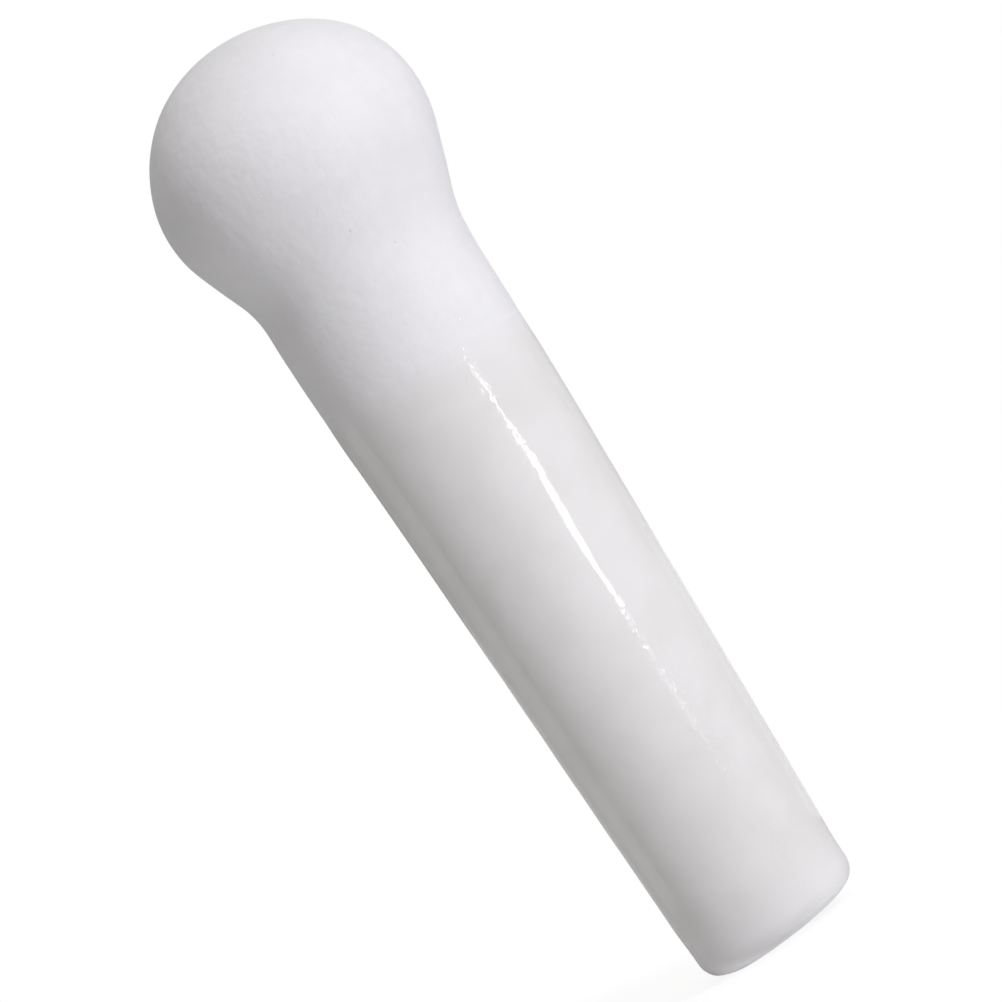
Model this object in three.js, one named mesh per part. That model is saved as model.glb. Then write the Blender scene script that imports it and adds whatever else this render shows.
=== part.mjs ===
// Porcelain pestle: a bare fired body and the glaze coat fused round its handle.
// Millimetres and degrees, +Z up. It stands on the flat foot of its handle, with the origin in its middle.
import * as THREE from 'three';

// Body, over the bare porcelain. The taper is that of one side of the handle.
const LENGTH = 150;
const HEAD_DIAMETER = 42.5;
const HEAD_DEPTH = 39.4;
const NECK_RISE = 3.5;
const NECK_FILLET = 18;
const HANDLE_TAPER = 1.8;
const FOOT_DIAMETER = 25.5;
const FOOT_EDGE_RADIUS = 3.4;

// Glaze. Its dip line leans to one side and wavers. It is wiped off the foot, part of the way up its edge.
const GLAZE_THICKNESS = 0.2;
const GLAZE_BOND_GAP = 0.02;
const DIP_LIP = 6;
const WIPE_LIP = 1.4;
const BARE_NECK = 13.9;
const BARE_FOOT_EDGE = 1.6;
const DIP_LINE_LEAN = 0.85;
const DIP_LINE_WAVER = 0.3;
const DIP_LINE_WAVES = 3;

// Facets
const SEGMENTS = 72;
const CROWN_STEPS = 20;
const HEAD_STEPS = 5;
const NECK_STEPS = 7;
const EDGE_STEPS = 9;
const LIP_STEPS = 5;

// Colours
const PORCELAIN_COLOUR = 0xe9e8ec;
const GLAZE_COLOUR = 0xe4e2df;

const taper = THREE.MathUtils.degToRad(HANDLE_TAPER);

// Radius of the bare handle, a straight cone, at a height above the foot
function handleRadius(height) {
  return FOOT_DIAMETER / 2 + height * Math.tan(taper);
}

// Points of a circular arc between two directions, given as angles from the radial direction
function arcPoints(centre, radius, fromAngle, toAngle, steps) {
  const arc = new THREE.EllipseCurve(
    centre.x, centre.y, radius, radius, fromAngle, toAngle, toAngle < fromAngle);
  return arc.getPoints(steps);
}

// Rounded edge between the flat foot and the handle's cone
const footEdgeCentre = new THREE.Vector2(
  handleRadius(FOOT_EDGE_RADIUS) - FOOT_EDGE_RADIUS / Math.cos(taper), FOOT_EDGE_RADIUS);
const footEdge = arcPoints(footEdgeCentre, FOOT_EDGE_RADIUS, -Math.PI / 2, -taper, EDGE_STEPS);

// The neck's corner: the head's flank lands on the handle a little above the full spheroid's lowest point
const headRadius = HEAD_DIAMETER / 2;
const headHalfDepth = HEAD_DEPTH / 2;
const headCentre = LENGTH - headHalfDepth;
const neckHeight = LENGTH - HEAD_DEPTH + NECK_RISE;
const neck = new THREE.Vector2(handleRadius(neckHeight), neckHeight);

// The flank is the tangent from the neck's corner to the spheroid, found on a spheroid drawn as a unit circle
const neckOnCircle = new THREE.Vector2(neck.x / headRadius, (neck.y - headCentre) / headHalfDepth);
const flankEnd = Math.atan2(neckOnCircle.y, neckOnCircle.x) + Math.acos(1 / neckOnCircle.length());
const lowerHead = new THREE.EllipseCurve(0, headCentre, headRadius, headHalfDepth, flankEnd, 0, false);
const crown = new THREE.EllipseCurve(0, headCentre, headRadius, headHalfDepth, 0, Math.PI / 2, false);
const flankTop = lowerHead.getPoint(0);
const flank = Math.atan2(flankTop.x - neck.x, flankTop.y - neck.y);

// Fillet in the neck's corner, tangent to the handle's cone and to the flank
function neckFillet() {
  const side = Math.sign(flank - taper);
  const reach = side * NECK_FILLET / Math.cos((flank - taper) / 2);
  const outward = (flank + taper) / 2;
  const centre = new THREE.Vector2(
    neck.x + reach * Math.cos(outward), neck.y - reach * Math.sin(outward));
  const facing = side > 0 ? Math.PI : 0;
  return arcPoints(centre, NECK_FILLET, facing - taper, facing - flank, NECK_STEPS);
}

const neckPoints = neckFillet();
const bodyProfile = [
  new THREE.Vector2(0, 0),
  ...footEdge,
  ...neckPoints,
  ...lowerHead.getPoints(HEAD_STEPS),
  ...crown.getPoints(CROWN_STEPS).slice(1, -1),
  new THREE.Vector2(0, LENGTH),
];

// The glaze runs from the wiped foot round the foot's edge and up the handle's cone to the dip line
const dipLine = neckPoints[0].y - BARE_NECK;
const wipeAngle = BARE_FOOT_EDGE / FOOT_EDGE_RADIUS - Math.PI / 2;
const wipeLipAngle = wipeAngle + WIPE_LIP / FOOT_EDGE_RADIUS;

// How far the glaze stands off the body, by its share of the full thickness
function glazeOffset(share) {
  return GLAZE_BOND_GAP + GLAZE_THICKNESS * share;
}

// A point on the glaze over the foot's edge, by the edge's angle
function glazeOnEdge(angle, share) {
  const reach = FOOT_EDGE_RADIUS + glazeOffset(share);
  return new THREE.Vector2(
    footEdgeCentre.x + reach * Math.cos(angle), footEdgeCentre.y + reach * Math.sin(angle));
}

// A point on the glaze over the cone, by the height of the body under it
function glazeOnHandle(height, share) {
  const offset = glazeOffset(share);
  return new THREE.Vector2(
    handleRadius(height) + offset * Math.cos(taper), height - offset * Math.sin(taper));
}

// Both edges of the glaze swell from nothing to the full thickness over the length of a lip
const swells = [];
for (let step = 0; step <= LIP_STEPS; step++) {
  const turn = step / LIP_STEPS * Math.PI / 2;
  swells.push({ along: 1 - Math.cos(turn), share: Math.sin(turn) });
}
const wipeLip = swells.map(({ along, share }) =>
  glazeOnEdge(wipeAngle + along * (wipeLipAngle - wipeAngle), share));
const dipLip = swells.map(({ along, share }) => glazeOnHandle(dipLine - along * DIP_LIP, share));

// Glaze round the foot's edge, from one angle up to the cone
function glazeEdge(fromAngle, share) {
  const points = [];
  for (let step = 1; step <= EDGE_STEPS; step++) {
    points.push(glazeOnEdge(fromAngle + (-taper - fromAngle) * step / EDGE_STEPS, share));
  }
  return points;
}

const glazeProfile = [
  ...wipeLip,
  ...glazeEdge(wipeLipAngle, 1),
  ...dipLip.reverse(),
  ...glazeEdge(wipeAngle, 0).reverse(),
  wipeLip[0],
];

// Revolve a profile of radius and height about +Z
function revolve(profile) {
  const geometry = new THREE.LatheGeometry(profile, SEGMENTS);
  geometry.rotateX(Math.PI / 2);
  return geometry;
}

// How far the dip line strays from level, round the handle
function dipLineStray(angle) {
  return DIP_LINE_WAVER * Math.sin(DIP_LINE_WAVES * angle) - DIP_LINE_LEAN * Math.cos(angle);
}

// Slide the glaze's upper lip along the handle's cone, so that its edge strays and its walls stay true
function strayDipLine(geometry) {
  const place = geometry.getAttribute('position');
  for (let i = 0; i < place.count; i++) {
    const height = place.getZ(i);
    if (height < dipLine / 2) continue;
    const angle = Math.atan2(place.getY(i), place.getX(i));
    const slide = dipLineStray(angle);
    const widen = slide * Math.tan(taper);
    place.setXYZ(
      i,
      place.getX(i) + widen * Math.cos(angle),
      place.getY(i) + widen * Math.sin(angle),
      height + slide);
  }
}

const porcelain = new THREE.MeshStandardMaterial({
  color: PORCELAIN_COLOUR, roughness: 0.65, metalness: 0, name: 'porcelain' });
const glaze = new THREE.MeshStandardMaterial({
  color: GLAZE_COLOUR, roughness: 0.12, metalness: 0, name: 'glaze' });

const body = new THREE.Mesh(revolve(bodyProfile), porcelain);
body.name = 'porcelain_body';

const coatGeometry = revolve(glazeProfile);
strayDipLine(coatGeometry);
const coat = new THREE.Mesh(coatGeometry, glaze);
coat.name = 'handle_glaze';

const pestle = new THREE.Group();
pestle.name = 'pestle';
pestle.add(body, coat);

export default pestle;
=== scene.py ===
"""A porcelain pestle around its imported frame: the bare fired body and the glaze on its handle."""
import math

import bpy
from mathutils import Matrix, Vector, noise


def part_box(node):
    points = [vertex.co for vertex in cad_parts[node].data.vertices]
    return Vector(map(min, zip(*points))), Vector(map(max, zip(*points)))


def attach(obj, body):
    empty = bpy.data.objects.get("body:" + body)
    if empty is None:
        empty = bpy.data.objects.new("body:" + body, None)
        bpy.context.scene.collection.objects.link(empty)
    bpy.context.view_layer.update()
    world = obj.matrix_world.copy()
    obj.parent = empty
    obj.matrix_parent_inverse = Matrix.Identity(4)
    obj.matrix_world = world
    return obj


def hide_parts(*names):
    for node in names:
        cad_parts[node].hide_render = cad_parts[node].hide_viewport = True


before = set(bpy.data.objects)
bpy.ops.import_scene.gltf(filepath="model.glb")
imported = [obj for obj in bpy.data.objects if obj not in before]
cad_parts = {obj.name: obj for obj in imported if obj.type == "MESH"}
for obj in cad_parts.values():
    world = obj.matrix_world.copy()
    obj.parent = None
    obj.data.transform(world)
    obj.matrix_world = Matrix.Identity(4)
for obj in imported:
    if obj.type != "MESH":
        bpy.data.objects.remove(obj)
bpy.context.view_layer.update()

MM = 0.001

# Body, in metres
BODY_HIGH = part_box("porcelain_body")[1]
LENGTH = BODY_HIGH.z
HEAD_RADIUS = BODY_HIGH.x
HEAD_HALF_DEPTH = 19.7 * MM
NECK_RISE = 3.5 * MM
NECK_FILLET = 18 * MM
HANDLE_TAPER = math.radians(1.8)
FOOT_RADIUS = 12.75 * MM
FOOT_EDGE_RADIUS = 3.4 * MM

# Glaze: it is sunk a little into the body, so that its two edges rise out of it
GLAZE_THICKNESS = 0.2 * MM
GLAZE_SEAT = 0.02 * MM
DIP_LINE = 97.7 * MM
DIP_LINE_LEAN = 0.85 * MM
DIP_LINE_WAVER = 0.4 * MM
DIP_LINE_WAVES = 3
DIP_LINE_REACH = 20 * MM
DIP_LIP = 8 * MM
BARE_FOOT_EDGE = 1.6 * MM
WIPE_LIP = 1.4 * MM

# What the hand left: the foot ground out of square, a full and a flat shoulder, a neck fuller on one side.
# The foot's lift is measured over its flat, goes on to its rim and is gone further up the handle.
FOOT_LIFT = 1.6 * MM
FOOT_LIFT_REACH = 1.2
FOOT_LIFT_SOFTNESS = 0.12
FOOT_LIFT_FADE = (4 * MM, 14 * MM)
FOOT_SHIFT = 0.22 * MM
FOOT_SHIFT_FADE = (3 * MM, 10 * MM)
SHOULDER_SWELL = 0.5 * MM
SHOULDER_FLAT = 0.3 * MM
CHEEK_FLAT = 0.2 * MM
NECK_HOLLOW = 0.16 * MM
NECK_FULL = 0.3 * MM
NECK_CREASE = 0.22 * MM
NECK_SHIFT = 0.28 * MM
COLLAR = 0.1 * MM
SLOW_WAVE = 0.22 * MM
SLOW_WAVE_SIZE = 32 * MM
LUMPS = 0.07 * MM
LUMP_SIZE = 5 * MM
WAVE_MIDDLE = 0.55

# Smoothness of the turned forms
RING = 192
RING_SPACING = 1.2 * MM
FOOT_HUB = 0.8 * MM
HEAD_STEPS = 64
EDGE_STEPS = 16
FILLET_STEPS = 12
LIP_STEPS = 10
MERGE_DISTANCE = 0.001 * MM

# Bare porcelain: soft clouds and mottling, pin-prick pits darkened with painted shade, pale flecks, a low
# relief and a fine grain
NOISE_RANGE = (0.3, 0.7)
CLOUD_SIZE = 9 * MM
CLOUD_SHARE = 0.6
MOTTLE_SIZE = 2.2 * MM
BARE_ROUGHNESS = 0.75
MOTTLE_ROUGHNESS = 0.1
PIT_SPACING = 9 * MM
PIT_RADIUS = 0.28 * MM
FLECK_SPACING = 5.5 * MM
FLECK_RADIUS = 0.24 * MM
SPECK_CORE = 0.4
SPECK_DEPTH = 0.05 * MM
RELIEF_SIZE = 1.8 * MM
RELIEF_DEPTH = 0.1 * MM
GRAIN_SIZE = 0.5 * MM
GRAIN_DEPTH = 0.015 * MM

# Glaze's surface: it dries out near its dip line and at its wiped edge, and is thin near the foot
DRY_DEPTH = 3.0 * MM
DRY_WIDTH = 6 * MM
DRY_WAVER = 1.6 * MM
DRY_WAVER_SIZE = 9 * MM
WIPE_GLOSSY = 1.6 * MM
WIPE_DRY = 0.4 * MM
THIN_FADE = (10 * MM, 3 * MM)
THIN_SHARE = 0.5
GLAZE_CLOUD_SIZE = 8 * MM
GLAZE_ROUGHNESS = 0.06
GLAZE_CLOUD_ROUGHNESS = 0.03
PEEL_SIZE = 0.9 * MM
PEEL_DEPTH = 0.03 * MM
PEEL_ALL_OVER = 0.3

# Run in the glaze, a more uneven strip down its front right: where each side of it begins and is full
RUN_LEFT = (3.2 * MM, 4.6 * MM)
RUN_RIGHT = (8.4 * MM, 7 * MM)
RUN_FRONT = (0, -6 * MM)
RUN_BRIM = (87 * MM, 91 * MM)
RUN_BRIM_AMOUNT = 1.2
RUN_UPPER = (68 * MM, 80 * MM)
RUN_LOWER = (57 * MM, 50 * MM)
RUN_LOWER_AMOUNT = 2.0

# Studio, with powers in watts
CAMERA_LENS = 200
CAMERA_SENSOR = 36
CAMERA_DISTANCE = 0.7906
CAMERA_RISE = 2.0
CAMERA_ROLL = 32.51
CAMERA_AIM = Vector((-1.05 * MM, 0, 74.07 * MM))
CAMERA_NEAR = 0.05
CAMERA_FAR = 100
WHITE = (1.0, 1.0, 1.0, 1.0)
FILL = 0.34
FILL_COLOUR = (1.0, 0.983, 0.95, 1.0)
GLOSS_SHARE = 0.1
LAMP_DISTANCE = 1.0
NEAR_DISTANCE = 0.16
STRIP_DISTANCE = 0.12
CARD_DISTANCE = 0.08
CARD_HEIGHT = 62 * MM
KEY_POWER = 4.45
KEY_COLOUR = (0.963, 0.957, 1.0)
NEAR_POWER = 0.027
SIDE_POWER = 0.5
TOP_POWER = 2.3
UNDER_FOOT_POWER = 0.0002
LEFT_CARD_POWER = 0.0006
LEFT_CARD_SPREAD = math.radians(50)
RIGHT_CARD_POWER = 0.0065
STREAK_POWER = 0.013
STREAK_TOP_POWER = 0.0098
STREAK_TAIL_POWER = 0.0013
BACK_POWER = 1.5
BACK_STRIP_POWER = 0.012
FLOOR_SIZE = 60
FLOOR_DROP = 0.02 * MM
FLOOR_SHADE = 0.75
FLOOR_SHADING = 0.22
FLOOR_GLOW = 1.13
SHADOW_NEAR = 0.15
SHADOW_FAR = 0.5


def handle_radius(height):
    return FOOT_RADIUS + height * math.tan(HANDLE_TAPER)


def smooth(low, high, value):
    """0 at low, 1 at high, with a smooth rise between."""
    share = min(1, max(0, (value - low) / (high - low)))
    return share * share * (3 - 2 * share)


def arc(centre, radius, start, end, steps):
    """Points of radius and height on an arc, by angle from the radial direction."""
    points = []
    for step in range(steps + 1):
        angle = start + (end - start) * step / steps
        points.append((centre[0] + radius * math.cos(angle), centre[1] + radius * math.sin(angle)))
    return points


def straight(start, end):
    """Points between the two ends of a straight run, without the ends."""
    steps = max(1, round(math.dist(start, end) / RING_SPACING))
    points = []
    for step in range(1, steps):
        share = step / steps
        points.append((
            start[0] + (end[0] - start[0]) * share,
            start[1] + (end[1] - start[1]) * share))
    return points


def foot_flat():
    """Radius of the foot's flat, where its rounded edge begins."""
    return handle_radius(FOOT_EDGE_RADIUS) - FOOT_EDGE_RADIUS / math.cos(HANDLE_TAPER)


def body_profile():
    """Radius and height along the bare body, from near the foot's middle to just short of the crown."""
    edge_centre = (foot_flat(), FOOT_EDGE_RADIUS)
    edge = arc(edge_centre, FOOT_EDGE_RADIUS, -math.pi / 2, -HANDLE_TAPER, EDGE_STEPS)
    foot = [(FOOT_HUB, 0)] + straight((FOOT_HUB, 0), edge[0])

    head_centre = LENGTH - HEAD_HALF_DEPTH
    neck_height = LENGTH - 2 * HEAD_HALF_DEPTH + NECK_RISE
    neck = (handle_radius(neck_height), neck_height)
    across = neck[0] / HEAD_RADIUS
    along = (neck[1] - head_centre) / HEAD_HALF_DEPTH
    flank_end = math.atan2(along, across) + math.acos(1 / math.hypot(across, along))
    head = []
    for step in range(HEAD_STEPS):
        angle = flank_end + (math.pi / 2 - flank_end) * step / HEAD_STEPS
        head.append((HEAD_RADIUS * math.cos(angle), head_centre + HEAD_HALF_DEPTH * math.sin(angle)))

    flank = math.atan2(head[0][0] - neck[0], head[0][1] - neck[1])
    reach = NECK_FILLET / math.cos((flank - HANDLE_TAPER) / 2)
    outward = (flank + HANDLE_TAPER) / 2
    fillet_centre = (neck[0] + reach * math.cos(outward), neck[1] - reach * math.sin(outward))
    fillet = arc(fillet_centre, NECK_FILLET, math.pi - HANDLE_TAPER, math.pi - flank, FILLET_STEPS)
    handle = straight(edge[-1], fillet[0])
    return foot + edge + handle + fillet + straight(fillet[-1], head[0]) + head


def glaze_profile():
    """Radius and height along the outside of the glaze, from its wiped edge up to its dip line."""
    def stand_off(share):
        return GLAZE_THICKNESS * share - GLAZE_SEAT * (1 - share)

    def on_edge(angle, share):
        reach = FOOT_EDGE_RADIUS + stand_off(share)
        return foot_flat() + reach * math.cos(angle), FOOT_EDGE_RADIUS + reach * math.sin(angle)

    def on_handle(height, share):
        return handle_radius(height) + stand_off(share), height

    shares = [step / LIP_STEPS for step in range(LIP_STEPS + 1)]
    wipe = BARE_FOOT_EDGE / FOOT_EDGE_RADIUS - math.pi / 2
    lip = WIPE_LIP / FOOT_EDGE_RADIUS
    wipe_lip = [on_edge(wipe + lip * share, math.sin(share * math.pi / 2)) for share in shares]
    full = wipe + lip
    edge = [on_edge(full + (-HANDLE_TAPER - full) * share, 1) for share in shares[1:]]
    lowest = DIP_LINE - DIP_LINE_LEAN - DIP_LINE_WAVER
    dip_lip = [on_handle(lowest - DIP_LIP * (1 - share), smooth(1, 0, share)) for share in shares]
    return wipe_lip + edge + straight(edge[-1], dip_lip[0]) + dip_lip


def start_ring(name, start, fill):
    """Begin a turned piece with a ring of a radius and height, left in edit mode."""
    bpy.ops.object.select_all(action="DESELECT")
    bpy.ops.mesh.primitive_circle_add(
        vertices=RING, radius=start[0], fill_type=fill, location=(0, 0, 0), enter_editmode=True)
    piece = bpy.context.object
    piece.name = name
    piece.data.name = name
    bpy.ops.transform.translate(value=(0, 0, start[1]))
    return piece


def select_where(piece, test):
    """Select the vertices whose place passes a test, in edit mode."""
    bpy.ops.mesh.select_mode(type="VERT")
    bpy.ops.mesh.select_all(action="DESELECT")
    bpy.ops.object.mode_set(mode="OBJECT")
    for vertex in piece.data.vertices:
        vertex.select = test(vertex.co)
    bpy.ops.object.mode_set(mode="EDIT")


def draw_up(rise):
    bpy.ops.mesh.extrude_region_move(TRANSFORM_OT_translate={"value": (0, 0, rise)})


def turn_up(profile):
    """Draw the selected ring along a profile, as clay is drawn up on a wheel."""
    for (radius, height), (next_radius, next_height) in zip(profile, profile[1:]):
        draw_up(next_height - height)
        share = next_radius / radius
        bpy.ops.transform.resize(value=(share, share, 1), center_override=(0, 0, 0))


def finish_turning():
    """Merge what meets, turn the faces outwards and leave edit mode."""
    bpy.ops.mesh.select_all(action="SELECT")
    bpy.ops.mesh.remove_doubles(threshold=MERGE_DISTANCE)
    bpy.ops.mesh.normals_make_consistent(inside=False)
    bpy.ops.object.mode_set(mode="OBJECT")
    bpy.ops.object.shade_smooth()


def apply_modifier(piece, kind, **settings):
    bpy.context.view_layer.objects.active = piece
    bpy.ops.object.modifier_add(type=kind)
    modifier = piece.modifiers[-1]
    for name, value in settings.items():
        setattr(modifier, name, value)
    bpy.ops.object.modifier_apply(modifier=modifier.name)


def press(piece, direction, amount, weight):
    """Move a piece's surface by an amount, times a weight from 0 to 1 that depends on the place."""
    group = piece.vertex_groups.new(name="press")
    for vertex in piece.data.vertices:
        group.add([vertex.index], weight(vertex.co), "REPLACE")
    apply_modifier(
        piece, "DISPLACE",
        direction=direction, strength=amount, mid_level=0, vertex_group=group.name)
    piece.vertex_groups.clear()


def spot(x, z, around, along):
    """Weight of a soft spot on the outline seen from the front, with its spread sideways and along it."""
    def weight(place):
        aside = math.hypot(place.x - x, place.y) / around
        return math.exp(-(aside ** 2 + ((place.z - z) / along) ** 2) / 2)
    return weight


def band(z, along):
    """Weight of a soft band round the axis at a height, with its spread along it."""
    return lambda place: math.exp(-((place.z - z) / along) ** 2 / 2)


def foot_weight(place):
    """Weight of the foot's lift, which starts at one side of its flat and fades out up the handle."""
    flat = foot_flat()
    across = (place.x + flat) / (2 * flat)
    soft = (across + math.hypot(across, FOOT_LIFT_SOFTNESS)) / 2
    return min(1, soft / FOOT_LIFT_REACH) * (1 - smooth(*FOOT_LIFT_FADE, place.z))


def foot_shift_weight(place):
    """Weight of the foot's shift, which fades out up the handle."""
    return 1 - smooth(*FOOT_SHIFT_FADE, place.z)


def waver(piece, name, size, amount):
    """Raise and lower a piece's surface by an amount, in soft waves of a size about their middle level."""
    waves = bpy.data.textures.get(name)
    if waves is None:
        waves = bpy.data.textures.new(name, "CLOUDS")
        waves.noise_scale = size
        waves.noise_depth = 1
    apply_modifier(
        piece, "DISPLACE",
        texture=waves, texture_coords="LOCAL", strength=amount, mid_level=WAVE_MIDDLE)


def work_by_hand(piece):
    """Give a turned piece the marks of hand finishing. Both pieces get the same and so stay together."""
    press(piece, "Z", FOOT_LIFT * FOOT_LIFT_REACH, foot_weight)
    press(piece, "X", FOOT_SHIFT, foot_shift_weight)
    right_shoulder = spot(x=16.5 * MM, z=141 * MM, around=8 * MM, along=6.5 * MM)
    press(piece, "NORMAL", SHOULDER_SWELL, right_shoulder)
    left_shoulder = spot(x=-18 * MM, z=139 * MM, around=8 * MM, along=6 * MM)
    press(piece, "NORMAL", -SHOULDER_FLAT, left_shoulder)
    right_cheek = spot(x=20 * MM, z=125.5 * MM, around=9 * MM, along=5 * MM)
    press(piece, "NORMAL", -CHEEK_FLAT, right_cheek)
    right_neck = spot(x=15.5 * MM, z=109 * MM, around=9 * MM, along=4 * MM)
    press(piece, "NORMAL", -NECK_HOLLOW, right_neck)
    right_flank = spot(x=17 * MM, z=116.5 * MM, around=9 * MM, along=4 * MM)
    press(piece, "NORMAL", NECK_FULL, right_flank)
    left_flank = spot(x=-17 * MM, z=115.5 * MM, around=9 * MM, along=3 * MM)
    press(piece, "NORMAL", -NECK_CREASE, left_flank)
    press(piece, "X", -NECK_SHIFT, band(z=102 * MM, along=11 * MM))
    press(piece, "NORMAL", COLLAR, band(z=98 * MM, along=5 * MM))
    waver(piece, "slow_wave", SLOW_WAVE_SIZE, SLOW_WAVE)
    waver(piece, "lumps", LUMP_SIZE, LUMPS)


def set_down(pieces):
    """Lower the pieces together until the lowest stands on the floor."""
    lowest = min(vertex.co.z for piece in pieces for vertex in piece.data.vertices)
    for piece in pieces:
        piece.data.transform(Matrix.Translation((0, 0, -lowest)))


def make_body():
    """The bare body, turned up from the foot to the crown."""
    profile = body_profile()
    piece = start_ring("bare_body", profile[0], "TRIFAN")
    select_where(piece, lambda place: place.to_2d().length > FOOT_HUB / 2)
    turn_up(profile)
    draw_up(LENGTH - profile[-1][1])
    bpy.ops.mesh.merge(type="CENTER")
    finish_turning()
    work_by_hand(piece)
    return piece


def dip_weight(place):
    """Weight of the dip line's stray, which is low on the right, wavers and fades out down the handle."""
    angle = math.atan2(place.y, place.x)
    ragged = noise.noise(Vector((math.cos(angle), math.sin(angle), 0)) * DIP_LINE_WAVES)
    stray = -DIP_LINE_LEAN * math.cos(angle) + DIP_LINE_WAVER * ragged
    most = DIP_LINE_LEAN + DIP_LINE_WAVER
    fade = smooth(DIP_LINE - DIP_LINE_REACH, DIP_LINE - DIP_LIP, place.z)
    return (stray / most + 1) / 2 * fade


def make_glaze():
    """The glaze: its outside is turned over the handle, worked alike and given its thickness inwards."""
    profile = glaze_profile()
    piece = start_ring("glaze_coat", profile[0], "NOTHING")
    turn_up(profile)
    finish_turning()
    stray = 2 * (DIP_LINE_LEAN + DIP_LINE_WAVER)
    press(piece, "Z", stray, dip_weight)
    press(piece, "NORMAL", stray * math.tan(HANDLE_TAPER), dip_weight)
    work_by_hand(piece)
    apply_modifier(
        piece, "SOLIDIFY",
        thickness=GLAZE_THICKNESS + GLAZE_SEAT, offset=-1, use_even_offset=True)
    return piece


class Field:
    """A value that changes over a surface. Arithmetic on it adds Math nodes."""

    def __init__(self, finish, socket):
        self.finish = finish
        self.socket = socket

    def maths(self, operation, first, second):
        return self.finish.node("ShaderNodeMath", {"operation": operation}, {0: first, 1: second})

    def __add__(self, other):
        return self.maths("ADD", self, other)

    def __radd__(self, other):
        return self.maths("ADD", other, self)

    def __sub__(self, other):
        return self.maths("SUBTRACT", self, other)

    def __rsub__(self, other):
        return self.maths("SUBTRACT", other, self)

    def __mul__(self, other):
        return self.maths("MULTIPLY", self, other)

    def __rmul__(self, other):
        return self.maths("MULTIPLY", other, self)


class Finish:
    """The nodes of a material or of the world, with one method that adds any node."""

    def __init__(self, owner):
        owner.use_nodes = True
        self.owner = owner
        self.tree = owner.node_tree
        self.tree.nodes.clear()

    def node(self, kind, settings=None, inputs=None, output=0):
        """Add a node with its settings, then the values or links of its sockets, and give one output."""
        node = self.tree.nodes.new(kind)
        for name, value in (settings or {}).items():
            setattr(node, name, value)
        for name, value in (inputs or {}).items():
            if isinstance(value, Field):
                self.tree.links.new(value.socket, node.inputs[name])
            else:
                node.inputs[name].default_value = value
        return Field(self, node.outputs[output]) if node.outputs else None

    def place(self):
        return self.node("ShaderNodeTexCoord", output="Object")

    def along(self, axis):
        return self.node("ShaderNodeSeparateXYZ", None, {"Vector": self.place()}, output=axis)

    def noise(self, size, detail=2.0):
        """Noise from 0 to 1 whose features are about this size."""
        return self.node("ShaderNodeTexNoise", None, {
            "Vector": self.place(), "Scale": 1 / size, "Detail": detail})

    def clouds(self, size, detail=2.0):
        """Noise that reaches 0 and 1 in its lows and highs."""
        return self.ramp(self.noise(size, detail), *NOISE_RANGE)

    def specks(self, spacing, radius):
        """1 in the core of round specks of a radius, strewn at about a spacing, and 0 outside them."""
        distance = self.node("ShaderNodeTexVoronoi", None, {
            "Vector": self.place(), "Scale": 1 / spacing})
        return self.ramp(distance, radius / spacing, radius * SPECK_CORE / spacing)

    def ramp(self, value, start, end):
        """0 up to start, 1 from end on, smooth between. Start may be the higher of the two."""
        return self.node("ShaderNodeMapRange", {"interpolation_type": "SMOOTHSTEP"}, {
            "Value": value, "From Min": start, "From Max": end})

    def mix(self, share, first, second):
        """A colour between two, by a share from 0 to 1. The Mix node has its colours at 6, 7 and 2."""
        return self.node(
            "ShaderNodeMix", {"data_type": "RGBA"}, {0: share, 6: first, 7: second}, output=2)

    def blend(self, share, first, second):
        """A shader between two, by a share from 0 to 1."""
        return self.node("ShaderNodeMixShader", None, {0: share, 1: first, 2: second})

    def bump(self, height, depth, under=None):
        """Normals for a height from 0 to 1 over a depth in metres."""
        inputs = {"Height": height, "Distance": depth, "Strength": 1.0}
        if under:
            inputs["Normal"] = under
        return self.node("ShaderNodeBump", None, inputs)

    def light_path(self, ray):
        return self.node("ShaderNodeLightPath", output=ray)

    def close(self, shader, output="ShaderNodeOutputMaterial"):
        self.node(output, None, {"Surface": shader})
        return self.owner


def linear(red, green, blue):
    """A colour on the 0 to 255 display scale, as the linear values that a shader takes."""
    def one(value):
        value /= 255
        return value / 12.92 if value <= 0.04045 else ((value + 0.055) / 1.055) ** 2.4
    return one(red), one(green), one(blue), 1.0


PORCELAIN_WHITE = linear(236, 235, 238)
PORCELAIN_GREY = linear(231, 230, 233)
# Grey of the pits: painted shade, the hollows drawn darker than the body round them.
PIT_PAINTED_SHADE = linear(222, 221, 222)
FLECK_WHITE = linear(249, 249, 250)
GLAZE_WHITE = linear(232, 231, 231)
GLAZE_GREY = linear(228, 226, 226)


def bare_surface(finish):
    """Bare fired porcelain: matt and softly mottled, with a few pin-prick pits darkened by painted shade,
    and pale flecks.
    """
    clouding = finish.clouds(CLOUD_SIZE)
    mottle = finish.clouds(MOTTLE_SIZE, detail=3)
    tone = clouding * CLOUD_SHARE + mottle * (1 - CLOUD_SHARE)
    white = finish.mix(tone, PORCELAIN_GREY, PORCELAIN_WHITE)
    pit_with_painted_shade = finish.specks(PIT_SPACING, PIT_RADIUS)
    fleck = finish.specks(FLECK_SPACING, FLECK_RADIUS)
    relief = finish.bump(finish.noise(RELIEF_SIZE, detail=1), RELIEF_DEPTH)
    grain = finish.bump(finish.noise(GRAIN_SIZE, detail=3), GRAIN_DEPTH, relief)
    return finish.node("ShaderNodeBsdfPrincipled", None, {
        # The pits take their darker grey as painted shade; their dent in the normals is a real bump.
        "Base Color": finish.mix(fleck, finish.mix(pit_with_painted_shade, white, PIT_PAINTED_SHADE), FLECK_WHITE),
        "Roughness": BARE_ROUGHNESS + mottle * MOTTLE_ROUGHNESS,
        "Normal": finish.bump(fleck - pit_with_painted_shade, SPECK_DEPTH, grain)})


def porcelain_finish():
    finish = Finish(bpy.data.materials.new("bare_porcelain"))
    return finish.close(bare_surface(finish))


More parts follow.
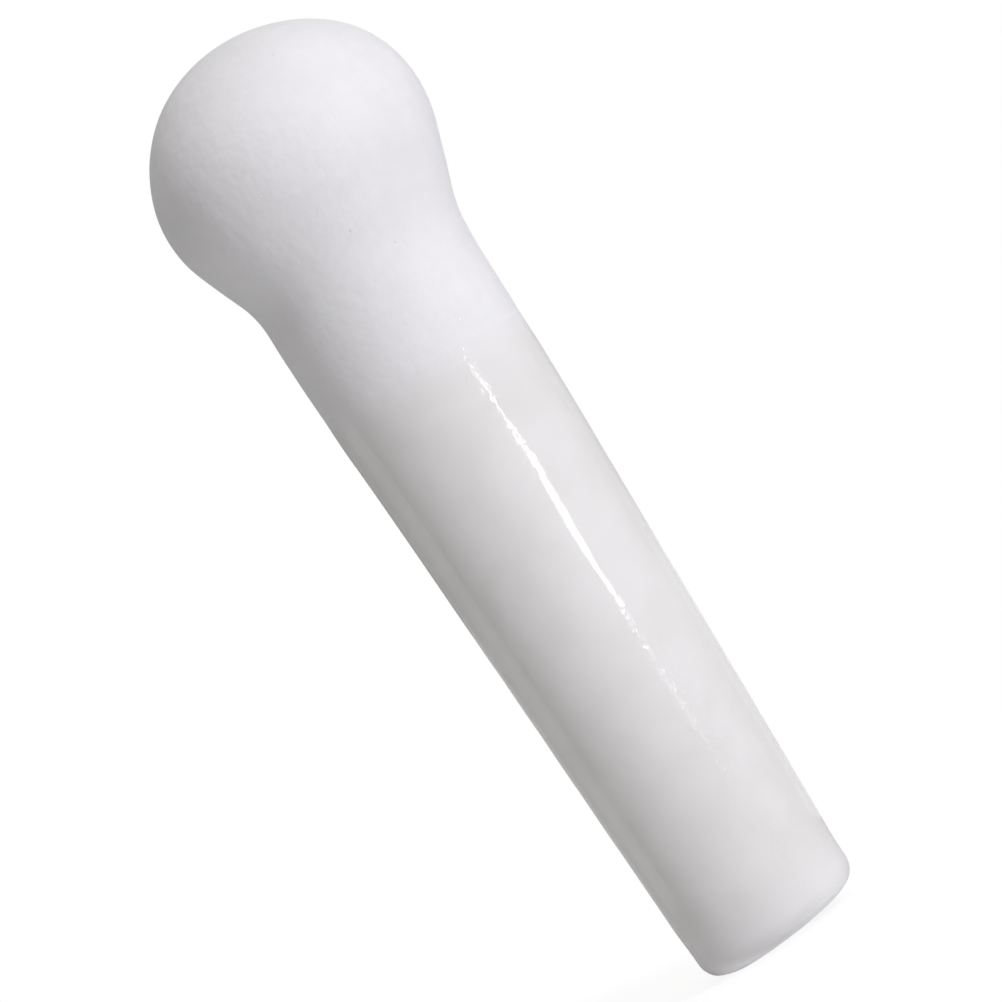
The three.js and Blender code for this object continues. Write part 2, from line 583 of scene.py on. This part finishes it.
def dried_out(finish):
    """1 where the glaze has dried out: near its leaning, wavering dip line and at its wiped edge."""
    height, across = finish.along("Z"), finish.along("X")
    lean = across * (DIP_LINE_LEAN / handle_radius(DIP_LINE))
    line = height + lean + finish.noise(DRY_WAVER_SIZE) * DRY_WAVER - DRY_WAVER / 2
    middle = DIP_LINE - DRY_DEPTH
    dry = finish.ramp(line, middle - DRY_WIDTH / 2, middle + DRY_WIDTH / 2)
    over_foot = height - across * (FOOT_LIFT / (2 * foot_flat()))
    wiped = finish.ramp(over_foot, FOOT_LIFT / 2 + WIPE_GLOSSY, FOOT_LIFT / 2 + WIPE_DRY)
    return dry + wiped


def glaze_peel(finish):
    """Normals of the glaze: faintly uneven all over, and more so in its run."""
    height, across = finish.along("Z"), finish.along("X")
    run = finish.ramp(across, *RUN_LEFT) * finish.ramp(across, *RUN_RIGHT)
    run = run * finish.ramp(finish.along("Y"), *RUN_FRONT)
    brim = finish.ramp(height, *RUN_BRIM) * RUN_BRIM_AMOUNT
    lower = finish.ramp(height, *RUN_LOWER) * RUN_LOWER_AMOUNT
    uneven = PEEL_ALL_OVER + run * (finish.ramp(height, *RUN_UPPER) + brim + lower)
    return finish.bump(finish.noise(PEEL_SIZE, detail=1) * uneven, PEEL_DEPTH)


def glaze_finish():
    """Fired glaze over porcelain: glossy, faintly warm, and bare where it has dried out."""
    finish = Finish(bpy.data.materials.new("fired_glaze"))
    clouding = finish.clouds(GLAZE_CLOUD_SIZE)
    colour = finish.mix(clouding, GLAZE_GREY, GLAZE_WHITE)
    thin = finish.ramp(finish.along("Z"), *THIN_FADE)
    gloss = finish.node("ShaderNodeBsdfPrincipled", None, {
        "Base Color": finish.mix(thin * THIN_SHARE, colour, PORCELAIN_WHITE),
        "Roughness": GLAZE_ROUGHNESS + clouding * GLAZE_CLOUD_ROUGHNESS,
        "Normal": glaze_peel(finish)})
    return finish.close(finish.blend(dried_out(finish), gloss, bare_surface(finish)))


def dress(piece, node, material):
    """Let a piece stand for its CAD node, in its finish."""
    piece.data.materials.clear()
    piece.data.materials.append(material)
    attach(piece, "root")
    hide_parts(node)


def white_to_the_eye(finish):
    """1 where the camera sees a surface straight or through glass, and a share of that in a reflection."""
    seen = finish.light_path("Is Camera Ray") + finish.light_path("Is Transmission Ray")
    return seen + finish.light_path("Is Glossy Ray") * GLOSS_SHARE


def make_floor():
    """A pale floor that looks white, and near the foot keeps a faint shadow."""
    bpy.ops.object.select_all(action="DESELECT")
    bpy.ops.mesh.primitive_plane_add(size=FLOOR_SIZE, location=(0, 0, -FLOOR_DROP))
    floor = bpy.context.object
    floor.name = "floor"
    finish = Finish(bpy.data.materials.new("pale_floor"))
    reach = finish.node(
        "ShaderNodeVectorMath", {"operation": "LENGTH"}, {0: finish.place()}, output="Value")
    shaded = finish.ramp(reach, SHADOW_FAR, SHADOW_NEAR)
    pale = finish.node("ShaderNodeBsdfDiffuse", None, {
        "Color": (FLOOR_SHADE, FLOOR_SHADE, FLOOR_SHADE, 1.0)})
    glow = finish.node("ShaderNodeEmission", None, {
        "Color": finish.mix(shaded, WHITE, (FLOOR_GLOW, FLOOR_GLOW, FLOOR_GLOW, 1.0)), "Strength": 1.0})
    lit = white_to_the_eye(finish) * (1 - shaded * FLOOR_SHADING)
    floor.data.materials.append(finish.close(finish.blend(lit, pale, glow)))


def light_world():
    """Even fill from all round, white to the eye."""
    finish = Finish(bpy.data.worlds.new("white_studio"))
    bpy.context.scene.world = finish.owner
    fill = finish.node("ShaderNodeBackground", None, {"Color": FILL_COLOUR, "Strength": FILL})
    white = finish.node("ShaderNodeBackground", None, {"Color": WHITE, "Strength": 1.0})
    finish.close(finish.blend(white_to_the_eye(finish), fill, white), "ShaderNodeOutputWorld")


def add_lamp(name, turn, rise, distance, aim, size, power, shape="RECTANGLE", lean=0):
    """An area lamp facing its aim. Turn is to the right of the camera, and angles are in degrees."""
    turn, rise = math.radians(turn), math.radians(rise)
    level = math.cos(rise)
    away = Vector((math.sin(turn) * level, -math.cos(turn) * level, math.sin(rise)))
    facing = away.to_track_quat("Z", "Y").to_matrix().to_4x4()
    leaning = Matrix.Rotation(math.radians(lean), 4, "Z")
    light = bpy.data.lights.new(name, "AREA")
    light.shape = shape
    light.size, light.size_y = size
    light.energy = power
    lamp = bpy.data.objects.new(name, light)
    lamp.matrix_world = Matrix.Translation(aim + away * distance) @ facing @ leaning
    lamp.visible_camera = False
    bpy.context.scene.collection.objects.link(lamp)
    return lamp


def on_axis(height):
    return Vector((0, 0, height))


def light_scene():
    """Soft lamps for the form, and strips and cards close by that only the gloss shows.

    The key stands to the right of the camera, and a weak lamp near the handle helps it. Side, top and
    back lamps round the form off, and one under the foot lights its edge. One strip gives a line on the
    back, and three give the streak on the front: its body, its narrow top and its broken tail. The cards
    light the rims.
    """
    middle = on_axis(LENGTH / 2)
    light_world()
    key = add_lamp(
        "key", turn=39.5, rise=24, distance=LAMP_DISTANCE, aim=middle, size=(0.2, 0.2), power=KEY_POWER)
    near = add_lamp(
        "near", turn=35, rise=0, distance=NEAR_DISTANCE, aim=on_axis(60 * MM),
        size=(0.05, 0.1), power=NEAR_POWER)
    side = add_lamp(
        "side", turn=115, rise=10, distance=LAMP_DISTANCE, aim=middle, size=(0.6, 0.6), power=SIDE_POWER)
    add_lamp(
        "top", turn=60, rise=78, distance=LAMP_DISTANCE, aim=middle, size=(0.6, 0.6), power=TOP_POWER)
    under_foot = add_lamp(
        "under_foot", turn=0, rise=-90, distance=0, aim=Vector((1 * MM, -7.5 * MM, -FLOOR_DROP / 2)),
        size=(0.026, 0.009), power=UNDER_FOOT_POWER)
    back = add_lamp(
        "back", turn=180, rise=20, distance=LAMP_DISTANCE, aim=middle, size=(0.5, 0.5), power=BACK_POWER)
    back_strip = add_lamp(
        "back_strip", turn=180, rise=0, distance=STRIP_DISTANCE, aim=on_axis(55 * MM),
        size=(0.012, 0.08), power=BACK_STRIP_POWER)
    left_card = add_lamp(
        "left_card", turn=-113, rise=0, distance=CARD_DISTANCE, aim=on_axis(CARD_HEIGHT),
        size=(0.05, 0.12), power=LEFT_CARD_POWER)
    left_card.data.spread = LEFT_CARD_SPREAD
    right_card = add_lamp(
        "right_card", turn=145, rise=0, distance=CARD_DISTANCE, aim=on_axis(CARD_HEIGHT),
        size=(0.068, 0.12), power=RIGHT_CARD_POWER)
    streak = add_lamp(
        "streak", turn=40.4, rise=0, distance=STRIP_DISTANCE, aim=on_axis(57 * MM),
        size=(0.0143, 0.034), power=STREAK_POWER, shape="ELLIPSE", lean=-6)
    streak_top = add_lamp(
        "streak_top", turn=41, rise=0, distance=STRIP_DISTANCE, aim=on_axis(75 * MM),
        size=(0.0022, 0.033), power=STREAK_TOP_POWER)
    streak_tail = add_lamp(
        "streak_tail", turn=40, rise=0, distance=STRIP_DISTANCE, aim=on_axis(25 * MM),
        size=(0.001, 0.025), power=STREAK_TAIL_POWER)
    for lamp in (key, near):
        lamp.data.color = KEY_COLOUR
    for lamp in (near, side, under_foot, back):
        lamp.visible_glossy = False
    for lamp in (left_card, right_card, streak, streak_top, streak_tail, back_strip):
        lamp.visible_diffuse = False


def add_camera():
    """A camera in front and a little above, rolled so that the head is at the upper left."""
    rise, roll = math.radians(CAMERA_RISE), math.radians(CAMERA_ROLL)
    right = Vector((1, 0, 0))
    up = Vector((0, math.sin(rise), math.cos(rise)))
    back = right.cross(up)
    rolled_right = right * math.cos(roll) - up * math.sin(roll)
    rolled_up = right * math.sin(roll) + up * math.cos(roll)
    turned = Matrix((rolled_right, rolled_up, back)).transposed().to_4x4()
    lens = bpy.data.cameras.new("camera")
    lens.lens = CAMERA_LENS
    lens.sensor_width = CAMERA_SENSOR
    lens.clip_start = CAMERA_NEAR
    lens.clip_end = CAMERA_FAR
    camera = bpy.data.objects.new("camera", lens)
    camera.matrix_world = Matrix.Translation(CAMERA_AIM + back * CAMERA_DISTANCE) @ turned
    bpy.context.scene.collection.objects.link(camera)
    bpy.context.scene.camera = camera


bpy.context.scene.view_settings.view_transform = "Standard"
body, coat = make_body(), make_glaze()
set_down((body, coat))
dress(body, "porcelain_body", porcelain_finish())
dress(coat, "handle_glaze", glaze_finish())
make_floor()
light_scene()
add_camera()
